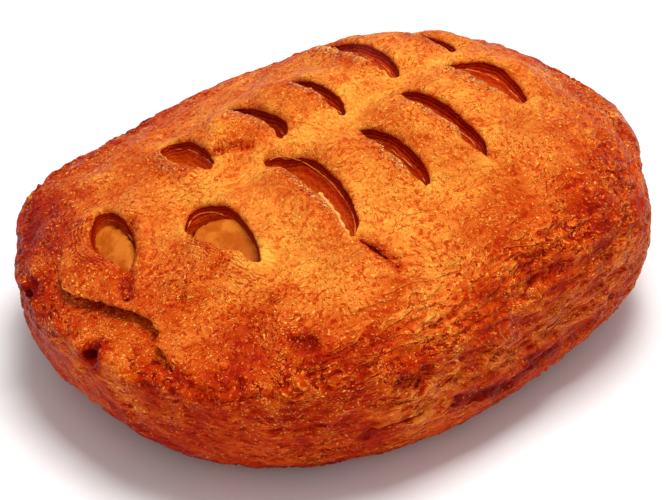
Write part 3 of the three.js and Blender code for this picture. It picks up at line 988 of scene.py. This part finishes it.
# Where the patterns show. A range goes from none to full, or between the two numbers after it.
PEEL_UP = (0.2, 0.5)
MARBLE_UP = (0.7, 0.92)
PATCHES = (0.07, 3.0, 0.55)
THREADS = {"shift": 0.02, "width": 0.025, "patches": (0.28, 0.38, 0.6, 0.2, 1.0)}
SPECKS_SHOWN = (0.13, 0.2)
DOTS = {"scale": 0.85, "size": (0.1, 0.26, 1.0, 0.0), "patches": (0.2, 0.44, 0.58)}
WRINKLED = {"up": (0.8, 0.95, 1.0, 0.0), "along": (-55.0, -40.0), "patches": (0.09, 0.42, 0.56)}
WRINKLE_WIDTH = {"dark": 0.025, "high": 0.05}
CALM = {"height": (6.0, 30.0, 0.5, 1.0), "patches": (0.1, 0.35, 0.65, 0.75, 1.2)}


def oven_group():
    """The colour of dough by how far it is baked, from gold to dark brown."""
    tree, given, sink = new_tree("oven colour", "ShaderNodeTree", [("Bake", FLOAT, 0.5)], [("Color", COLOUR)])
    plug(sink.inputs["Color"], tinted(given["Bake"], CRUST_STOPS))
    return tree


def skin_group():
    """The skin's fine pattern, fibres low down and marbling on top: how dark, how high, and its pale dots."""
    tree, given, sink = new_tree(
        "baked skin",
        "ShaderNodeTree",
        [("Place", VECTOR, None), ("Up", FLOAT, 1.0)],
        [("Dark", FLOAT), ("Height", FLOAT), ("Dots", FLOAT)],
    )
    place, up = given["Place"], given["Up"]
    along, _, height = parts_of(place)
    swayed = shaken(place, **SWAY)
    drawn = {}
    for name, (stretch, *settings) in SKIN_PATTERNS.items():
        drawn[name] = noise(vector("MULTIPLY", swayed, stretch), *settings) - 0.5
    weave = drawn["fibre"] + ramp(up, *PEEL_UP) * (drawn["peel"] - drawn["fibre"])
    weave = weave + ramp(up, *MARBLE_UP) * (drawn["marble"] - weave)
    patches = noise(place, *PATCHES) - 0.5
    threads = bell(weave + THREADS["shift"], THREADS["width"]) * patchy(place, *THREADS["patches"])
    specks = ramp(drawn["speck"], *SPECKS_SHOWN)
    dots = ramp(cells(place, DOTS["scale"]), *DOTS["size"]) * patchy(place, *DOTS["patches"])

    # Wrinkles show on the sides, away from the near end, and the weave is calmer near the foot.
    sides = ramp(up, *WRINKLED["up"]) * ramp(along, *WRINKLED["along"])
    sides = sides * patchy(place, *WRINKLED["patches"])
    calm = ramp(height, *CALM["height"]) * patchy(place, *CALM["patches"])

    dark = patches * SKIN_DARK["patches"] + drawn["mottle"] * SKIN_DARK["mottle"]
    dark = dark - bell(drawn["wrinkle"], WRINKLE_WIDTH["dark"]) * sides * SKIN_DARK["wrinkle"]
    pale = weave * SKIN_DARK["weave"] + threads * SKIN_DARK["threads"] + specks * SKIN_DARK["specks"]
    high = weave * SKIN_HEIGHT["weave"] - drawn["mottle"] * SKIN_HEIGHT["mottle"]
    high = high + specks * SKIN_HEIGHT["specks"]
    high = high + bell(drawn["wrinkle"], WRINKLE_WIDTH["high"]) * sides * SKIN_HEIGHT["wrinkle"]
    plug(sink.inputs["Dark"], calc("SMOOTH_MIN", dark - pale * calm, DARKEST, DARKEST_SOFT))
    plug(sink.inputs["Height"], high)
    plug(sink.inputs["Dots"], dots)
    return tree


def skin_bake(masks, place, skin, lines):
    """How dark the skin is, with painted shade: more low down, near end and far side, less where stretched.
    """
    along, across, height = parts_of(place)
    # Crests are lighter: a painted highlight on the wrinkles.
    bake = BAKE["plain"] + skin["Dark"] - masks["crest"] * BAKE["crest"]
    # Darker on the sides: partly browning, partly painted shade.
    bake = bake + ramp(masks["up"], *BAKE_PLACES["side"], BAKE["side"], 0.0)
    # Darker low down: painted shade where the loaf meets the floor.
    bake = bake + ramp(height, *BAKE_PLACES["foot"], BAKE["foot"], 0.0)
    # Darker towards the near end and on the far side.
    bake = bake + ramp(along, *BAKE_PLACES["near_end"], BAKE["near_end"], 0.0)
    bake = bake + ramp(across, *BAKE_PLACES["far_side"], 0.0, BAKE["far_side"])
    # Spots of browning, and spots of painted shade on the humps' shaded sides.
    bake = bake + masks["browned"]
    # Paler where stretched; darker in cuts, creases and under the flap, as painted shade.
    bake = bake - masks["stretch"] * BAKE["stretch"] + masks["crease"] * BAKE["crease"]
    # Layer lines on the lips, and redder by the lips: partly browning, partly painted shade.
    bake = bake + lines * BAKE["lines"] + masks["ruddy"] * BAKE["ruddy"]
    scorched = ramp(noise(place, *SCORCHED["noise"]), *SCORCHED["shown"])
    scorched = scorched * ramp(masks["lip"], *SCORCHED["lip"])
    return bake + scorched * BAKE["scorched"]


def wall_bake(masks, skin, striae):
    """How dark a slit's walls are: a dark band above, a lighter slope below, and layers in both."""
    depth = masks["depth"]
    # The dark top band is partly browned cut dough and partly painted shade under the rim; creases add
    # painted shade.
    bake = ramp(depth, *WALL_PLACES["ledge"], WALL_BAKE["top"], WALL_BAKE["ledge"])
    bake = bake - ramp(depth, *WALL_PLACES["slope"]) * WALL_BAKE["slope"]
    bake = bake + striae * ramp(depth, *STRIA_BAKE) + skin["Dark"] * WALL_BAKE["skin"]
    return bake - masks["stretch"] * WALL_BAKE["stretch"] + masks["crease"] * WALL_BAKE["crease"]


def crust_material(oven):
    """Baked dough with an egg-wash shine, layered lips and walls, and pale crumbs along the lips."""
    material, tree, shader = blank_material("baked_crust")
    place = place_in_mm(tree)
    masks = {name: attribute(tree, name) for name in CRUST_MASKS}
    lip = masks["lip"]
    skin = placed(tree, skin_group(), {"Place": place, "Up": masks["up"]})
    wall = ramp(masks["depth"], *WALL)
    wander = noise(place, WANDER["scale"])
    lines = calc("SINE", masks["rim"] * (2 * math.pi / LINE_PITCH) + wander * WANDER["lines"])
    lines = lines * masks["layers"] * patchy(place, *LINE_PATCHES)
    striae = calc("SINE", masks["depth"] * (2 * math.pi / STRIA_PITCH) + wander * WANDER["striae"])
    bake = skin_bake(masks, place, skin, lines)
    bake = bake + wall * (wall_bake(masks, skin, striae) - bake)
    colour = placed(tree, oven, {"Bake": bake})["Color"]
    crumbs = ramp(noise(place, *CRUMBS["noise"]) + lip * CRUMBS["more"], *CRUMBS["shown"])
    crumbs = crumbs * ramp(lip, *CRUMBS["lip"])
    pale = larger(skin["Dots"] * PALENESS["dots"], crumbs * PALENESS["crumbs"]) * (1 - wall)
    plug(shader.inputs["Base Color"], mixed(pale, colour, PALE))
    rough = CRUST_ROUGH["plain"] - skin["Height"] * CRUST_ROUGH["height"]
    set_gloss(shader, roughness=rough, specular=0.09, tint=CRUST_SHINE)
    height = skin["Height"] + lines * CRUST_HEIGHT["lines"] + crumbs * CRUST_HEIGHT["crumbs"]
    height = height + striae * wall * CRUST_HEIGHT["striae"]
    bumped(tree, shader, height, strength=1.0, distance=0.4 * MM)
    return material


def leaf_material(oven):
    """The torn edges of dough leaves, paler where they are thick."""
    material, tree, shader = blank_material("leaf_edges")
    mottle = noise(place_in_mm(tree), *LEAF_TONE["noise"]) - 0.5
    pale = attribute(tree, "pale")
    bake = LEAF_TONE["bake"] + mottle * LEAF_TONE["mottle"] - pale * LEAF_TONE["pale"]
    colour = placed(tree, oven, {"Bake": bake})["Color"]
    paleness = ramp(mottle + pale * LEAF_PALENESS["more"], *LEAF_PALENESS["shown"])
    plug(shader.inputs["Base Color"], mixed(paleness, colour, PALE))
    set_gloss(shader, roughness=0.5, specular=0.2)
    bumped(tree, shader, mottle, strength=0.5, distance=0.3 * MM)
    return material


def flake_material(name, oven, pale_from, pale_to):
    """Loose bits of dough, each with its own tone."""
    material, tree, shader = blank_material(name)
    tone = attribute(tree, "tone")
    mottle = noise(place_in_mm(tree), FLAKE_TONE["scale"]) - 0.5
    bake = FLAKE_TONE["bake"] - tone * FLAKE_TONE["tone"] + mottle * FLAKE_TONE["mottle"]
    colour = placed(tree, oven, {"Bake": bake})["Color"]
    paleness = ramp(tone + mottle * FLAKE_TONE["uneven"], pale_from, pale_to)
    plug(shader.inputs["Base Color"], mixed(paleness, colour, PALE))
    set_gloss(shader, roughness=0.45, specular=0.25)
    bumped(tree, shader, mottle, strength=0.3, distance=0.2 * MM)
    return material


def cheese_material():
    """Moist melted cheese with darker and lighter patches."""
    material, tree, shader = blank_material("soft_cheese")
    place = place_in_mm(tree)
    mottle = noise(place, *CHEESE_MOTTLE["noise"])
    light = ramp(mottle, *CHEESE_MOTTLE["shown"])
    plug(shader.inputs["Base Color"], mixed(light, CHEESE_DARK, CHEESE_LIGHT))
    rough = CHEESE_ROUGH["plain"] + mottle * CHEESE_ROUGH["mottle"]
    set_gloss(shader, roughness=rough, specular=0.12, tint=CHEESE_SHINE)
    bumped(tree, shader, noise(place, *CHEESE_GRAIN), strength=0.3, distance=0.6 * MM)
    return material


def cheese_tree(shift):
    """The cheese mound, smoothed, lumpy and risen where it shows in a slit."""
    tree, given, sink = new_tree(
        "cheese mound",
        "GeometryNodeTree",
        [
            ("Geometry", GEOMETRY, None),
            ("Lump Height", FLOAT, 0.7),
            ("Rise", FLOAT, 1.0),
            ("Material", MATERIAL, None),
        ],
        [("Geometry", GEOMETRY)],
    )
    mesh = step(tree, "GeometryNodeSubdivisionSurface", {"Mesh": given["Geometry"], "Level": CHEESE_LEVEL})
    place = point_in_mm(tree)
    lumps = (noise(place, *CHEESE_LUMPS) - 0.5) * 2.0 * given["Lump Height"]
    here = vector("SUBTRACT", place, shift)
    swell = swell_group()
    for slit in SLITS:
        if slit["cheese"]:
            middle, along, across = slit_frame(slit)
            made = placed(tree, swell, {"Place": here, "Middle": middle, "Along": along, "Across": across})
            share = made["Along"] / half_span(slit)
            centre, half = (slit["gape"] + slit["bow"]) / 2, (slit["gape"] - slit["bow"]) / 2
            reach = (made["Across"] - centre) / half
            swollen = ramp(share * share + reach * reach, *CHEESE_RISEN) * slit["cheese"]
            lumps = lumps + swollen * given["Rise"]
    offset = scaled(step(tree, "GeometryNodeInputNormal", {}), lumps * MM)
    mesh = step(tree, "GeometryNodeSetPosition", {"Geometry": mesh, "Offset": offset})
    close_tree(tree, sink, mesh, given["Material"])
    return tree


# The edges of dough leaves at the ledges in the slits, and along the lips, of which one is torn.
LEAF_STEPS = 60
LEAF_START = 14.0        # degrees round the slit's oval
LEAF_SWEEP = 152.0
LEAF_LIFT = 0.9
LEAF_RADIUS = 0.17
LEAF_SIDES = 6
LEAF_PATCHES = (0.4, 0.42, 0.56)
LEAF_WIDTH = 0.9         # of the radius
LEAF_RAGGED = (0.9, 3.0, 0.7)
RAGGEDNESS = 3.4
LEAST_WIDTH = 0.05       # of the radius
LEAF_PALE = {"torn": 1.0, "lip": 0.4, "wall": 0.2}
TORN = {"slit": 1, "start": 0.25, "end": 0.9, "thickness": 3.6, "inward": 0.5, "raised": 0.16}


def lip_place(slit, u):
    """How far across its slit the lip lies, at a share of the half span."""
    share = min(max((u - CURL_START) / (1 - CURL_START), 0.0), 1.0)
    curl = share * share * (3 - 2 * share) * slit["gape"] * CURL
    return slit["bow"] * (1 - u * u) - curl


def wall_place(slit, u):
    """How far across its slit the wall facing the lip lies, at a share of the half span."""
    power = slit["round"]
    return slit["gape"] * (1 - abs(u) ** power) ** (1 / power) * (1 - slit["skew"] * u)


def leaf_paths(shift):
    """The paths of leaf edges round each slit's wall and along its lip, as a mesh of lines."""
    points, edges, pale, thick = [], [], [], []
    for order, slit in enumerate(SLITS):
        middle, along, across = slit_frame(slit)
        span = half_span(slit)
        for on_lip in (False,) if slit["layers"] == 1.0 else (False, True):
            for number in range(LEAF_STEPS + 1):
                u = -math.cos(math.radians(LEAF_START + LEAF_SWEEP * number / LEAF_STEPS))
                torn = on_lip and order == TORN["slit"] and TORN["start"] < u < TORN["end"]
                sideways = lip_place(slit, u) if on_lip else wall_place(slit, u)
                sideways += TORN["inward"] * torn
                spot = middle + along * (u * span - slit["lean"] * sideways) + across * sideways
                spot.z = dome_height(spot.x, spot.y)
                spot += outward(spot) * (LEAF_LIFT - (0.0 if on_lip else BAND))
                if number:
                    edges.append((len(points) - 1, len(points)))
                points.append((spot + shift) * MM)
                pale.append(LEAF_PALE["torn" if torn else "lip" if on_lip else "wall"])
                thick.append(TORN["thickness"] if torn else 0.0)
    mesh = bpy.data.meshes.new("leaf paths")
    mesh.from_pydata(points, edges, [])
    for name, values in (("pale", pale), ("thick", thick)):
        mesh.attributes.new(name, "FLOAT", "POINT").data.foreach_set("value", values)
    return mesh


def stored(tree, name):
    """A number that the mesh carries at each point."""
    return step(tree, "GeometryNodeInputNamedAttribute", {"Name": name}, data_type="FLOAT")


def leaf_tree():
    """Thin torn edges of dough along paths, laid onto the crust."""
    tree, given, sink = new_tree(
        "leaf edges",
        "GeometryNodeTree",
        [
            ("Geometry", GEOMETRY, None),
            ("Crust", OBJECT, None),
            ("Radius", FLOAT, LEAF_RADIUS * MM),
            ("Material", MATERIAL, None),
        ],
        [("Geometry", GEOMETRY)],
    )
    crust = step(tree, "GeometryNodeObjectInfo", {"Object": given["Crust"]}, "Geometry")
    curve = step(tree, "GeometryNodeMeshToCurve", {"Mesh": given["Geometry"]})
    spot = step(tree, "GeometryNodeInputPosition", {})
    target = {"Geometry": crust, "Sample Position": spot}
    near = step(tree, "GeometryNodeProximity", target, target_element="FACES")
    thick = stored(tree, "thick")
    raised = scaled(step(tree, "ShaderNodeCombineXYZ", {"Z": thick}), TORN["raised"] * MM)
    curve = step(tree, "GeometryNodeSetPosition", {"Geometry": curve, "Position": near, "Offset": raised})
    place = scaled(spot, 1 / MM)
    width = patchy(place, *LEAF_PATCHES) * LEAF_WIDTH
    width = larger(width, thick) * (1 + (noise(place, *LEAF_RAGGED) - 0.5) * RAGGEDNESS)
    round_it = {"Resolution": LEAF_SIDES, "Radius": given["Radius"]}
    ring = step(tree, "GeometryNodeCurvePrimitiveCircle", round_it)
    swept = {"Curve": curve, "Profile Curve": ring, "Scale": larger(width, LEAST_WIDTH), "Fill Caps": True}
    close_tree(tree, sink, step(tree, "GeometryNodeCurveToMesh", swept), given["Material"])
    return tree


# Small things scattered over the crust, and the tone from which their paleness sets in and is full.
SPECKS = {"Density": 0.8 / MM**2, "Smallest": 0.05 * MM, "Largest": 0.15 * MM, "Shape": (1.6, 0.8, 0.4)}
SPECK_PALE = (0.6, 1.4)
FLAKES = {
    "Density": 2.6 / MM**2,
    "Smallest": 0.12 * MM,
    "Largest": 0.4 * MM,
    "Shape": (1.2, 0.8, 0.3),
    "Tilt": 0.5,
    "Fineness": 2,
}
FLAKE_PALE = (0.4, 1.0)
CRUMPLE = {"scale": 1.1, "height": 1.2}

# Where they lie: by the crust's masks, and in patches of noise.
SPECK_PLACES = {"depth": (-0.2, 0.4, 1.0, 0.0), "up": (0.35, 0.65, 0.08, 1.0)}
SPECK_PATCHES = (0.12, 0.4, 0.62, 0.12, 1.0)
FLAKE_PLACES = {"lip": (0.45, 0.9), "depth": (0.2, 0.8, 1.0, 0.0)}
FLAKE_PATCHES = (0.2, 0.42, 0.6)


def random_number(tree, low, high, seed):
    """A number between two others, drawn for each piece."""
    limits = {RANDOM_LOW: low, RANDOM_HIGH: high, "Seed": seed}
    return step(tree, "FunctionNodeRandomValue", limits, RANDOM_RESULT, data_type="FLOAT")


def scatter_tree(name, density_rule):
    """Small pieces of dough, flattened and turned by chance, scattered over the crust."""
    tree, given, sink = new_tree(
        name,
        "GeometryNodeTree",
        [
            ("Geometry", GEOMETRY, None),
            ("Density", FLOAT, 1000.0),
            ("Smallest", FLOAT, 0.2 * MM),
            ("Largest", FLOAT, 0.6 * MM),
            ("Shape", VECTOR, (1.0, 1.0, 0.4)),
            ("Tilt", FLOAT, 0.2),
            ("Fineness", INTEGER, 1),
            ("Seed", INTEGER, SEED),
            ("Material", MATERIAL, None),
        ],
        [("Geometry", GEOMETRY)],
    )
    masks = {label: stored(tree, label) for label in ("depth", "lip", "up", "hidden")}
    factor = density_rule(point_in_mm(tree), masks) * ramp(masks["hidden"], 0.0, 0.5, 1.0, 0.0)
    spread = tree.nodes.new("GeometryNodeDistributePointsOnFaces")
    plug(spread.inputs["Mesh"], given["Geometry"])
    plug(spread.inputs["Density"], factor * given["Density"])
    plug(spread.inputs["Seed"], given["Seed"])
    turns = {
        "X": random_number(tree, -given["Tilt"], given["Tilt"], 1),
        "Y": random_number(tree, -given["Tilt"], given["Tilt"], 2),
        "Z": random_number(tree, 0.0, 2 * math.pi, 3),
    }
    turn = step(tree, "FunctionNodeEulerToRotation", {"Euler": step(tree, "ShaderNodeCombineXYZ", turns)})
    turning = {"Rotation": Field(spread.outputs["Rotation"]), "Rotate By": turn}
    turn = step(tree, "FunctionNodeRotateRotation", turning, rotation_space="LOCAL")
    chip = step(tree, "GeometryNodeMeshIcoSphere", {"Radius": 1.0, "Subdivisions": given["Fineness"]})
    crumple = noise(step(tree, "GeometryNodeInputPosition", {}), CRUMPLE["scale"]) - 0.5
    crumpled = scaled(step(tree, "GeometryNodeInputNormal", {}), crumple * CRUMPLE["height"])
    chip = step(tree, "GeometryNodeSetPosition", {"Geometry": chip, "Offset": crumpled})
    size = random_number(tree, 0.0, 1.0, 4)
    size = size * size * (given["Largest"] - given["Smallest"]) + given["Smallest"]
    made = {
        "Points": Field(spread.outputs["Points"]),
        "Instance": chip,
        "Rotation": turn,
        "Scale": scaled(given["Shape"], size),
    }
    chips = step(tree, "GeometryNodeInstanceOnPoints", made)
    named = {"Geometry": chips, "Name": "tone", "Value": random_number(tree, 0.0, 1.0, 5)}
    chips = step(tree, "GeometryNodeStoreNamedAttribute", named, data_type="FLOAT", domain="INSTANCE")
    close_tree(tree, sink, chips, given["Material"])
    return tree


def speck_rule(place, masks):
    """Specks of pale dough all over the skin, in patches, fewer on its sides."""
    patches = patchy(place, *SPECK_PATCHES)
    return ramp(masks["depth"], *SPECK_PLACES["depth"]) * ramp(masks["up"], *SPECK_PLACES["up"]) * patches


def flake_rule(place, masks):
    """Flakes on the lips of the slits, in patches."""
    patches = patchy(place, *FLAKE_PATCHES)
    return ramp(masks["lip"], *FLAKE_PLACES["lip"]) * ramp(masks["depth"], *FLAKE_PLACES["depth"]) * patches


def merged_copy(node):
    """A CAD node's mesh with its loose triangles joined."""
    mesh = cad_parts[node].data.copy()
    work = bmesh.new()
    work.from_mesh(mesh)
    bmesh.ops.remove_doubles(work, verts=work.verts, dist=1e-6)
    work.to_mesh(mesh)
    work.free()
    mesh.materials.clear()
    return mesh


def loaf_shift():
    """Where the loaf's own middle line stands in the shared frame, in millimetres."""
    low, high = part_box("cheese_filling")
    return Vector(((low[0] + high[0]) / 2, (low[1] + high[1]) / 2, 0.0)) / MM


def make_crust(oven, shift):
    margin = Vector((MESH_MARGIN, MESH_MARGIN, MESH_MARGIN)) * MM
    low, high = (Vector(corner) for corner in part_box("crust"))
    values = {"Low Corner": low - margin, "High Corner": high + margin, "Material": crust_material(oven)}
    return thinned(grown("puff_crust", crust_tree(shift), values))


def make_cheese(shift):
    values = {"Material": cheese_material()}
    return grown("soft_cheese", cheese_tree(shift), values, merged_copy("cheese_filling"))


def make_leaves(oven, shift, crust):
    values = {"Crust": crust, "Material": leaf_material(oven)}
    return grown("leaf_edges", leaf_tree(), values, leaf_paths(shift))


def make_scatter(name, rule, sizes, pale, oven, crust):
    """Bits of dough of one kind, strewn over the crust."""
    values = {**sizes, "Material": flake_material(name, oven, *pale)}
    return grown(name, scatter_tree(name, rule), values, crust.data)


# The camera, from fitting the loaf's outline to the photograph.
EYE = (-0.2656, -0.3451, 0.2997)
AIM = (-0.00293, -0.00112, 0.0190)
LENS = 139.7
NEAREST = 0.01

# The stage and the lights: name, place, size and power of each, all aimed at the loaf.
FLOOR_HALF = 3.0
FLOOR_COLOUR = (0.92, 0.92, 0.92, 1.0)
FLOOR_ROUGHNESS = 0.8
LIGHTS = [
    ("overhead", (0.1, 0.0, 0.93), 0.4, 7.3),
    ("fill", (-0.45, -0.75, 0.28), 1.0, 2.2),
]
LIGHT_AIM = (0.0, 0.0, 0.02)
SKY_COLOUR = (1.0, 1.0, 1.0, 1.0)
SKY_STRENGTH = 0.42


def aimed(name, data, place, aim):
    """A new camera or light at one place, turned to face another."""
    thing = bpy.data.objects.new(name, data)
    bpy.context.scene.collection.objects.link(thing)
    thing.location = place
    thing.rotation_euler = (Vector(aim) - Vector(place)).to_track_quat("-Z", "Y").to_euler()
    return thing


def set_camera():
    camera = aimed("camera", bpy.data.cameras.new("camera"), EYE, AIM)
    camera.data.lens = LENS
    camera.data.clip_start = NEAREST
    bpy.context.scene.camera = camera


def set_stage():
    floor = bpy.data.meshes.new("floor")
    corners = [(x * FLOOR_HALF, y * FLOOR_HALF, 0) for x, y in ((-1, -1), (1, -1), (1, 1), (-1, 1))]
    floor.from_pydata(corners, [], [(0, 1, 2, 3)])
    stage = bpy.data.objects.new("floor", floor)
    bpy.context.scene.collection.objects.link(stage)
    material, _, shader = blank_material("floor")
    shader.inputs["Base Color"].default_value = FLOOR_COLOUR
    shader.inputs["Roughness"].default_value = FLOOR_ROUGHNESS
    floor.materials.append(material)


def set_light():
    for name, place, size, power in LIGHTS:
        lamp = bpy.data.lights.new(name, "AREA")
        lamp.size = size
        lamp.energy = power
        aimed(name, lamp, place, LIGHT_AIM)
    world = bpy.data.worlds.new("studio")
    world.use_nodes = True
    sky = world.node_tree.nodes["Background"].inputs
    sky["Color"].default_value = SKY_COLOUR
    sky["Strength"].default_value = SKY_STRENGTH
    bpy.context.scene.world = world
    bpy.context.scene.view_settings.view_transform = "Standard"


set_camera()
set_stage()
set_light()
oven = oven_group()
shift = loaf_shift()
crust = make_crust(oven, shift)
cheese = make_cheese(shift)
loose = [
    make_leaves(oven, shift, crust),
    make_scatter("pale_specks", speck_rule, SPECKS, SPECK_PALE, oven, crust),
    make_scatter("lip_flakes", flake_rule, FLAKES, FLAKE_PALE, oven, crust),
]
for piece in (crust, cheese, *loose):
    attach(piece, "root")
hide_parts("crust")
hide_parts("cheese_filling")
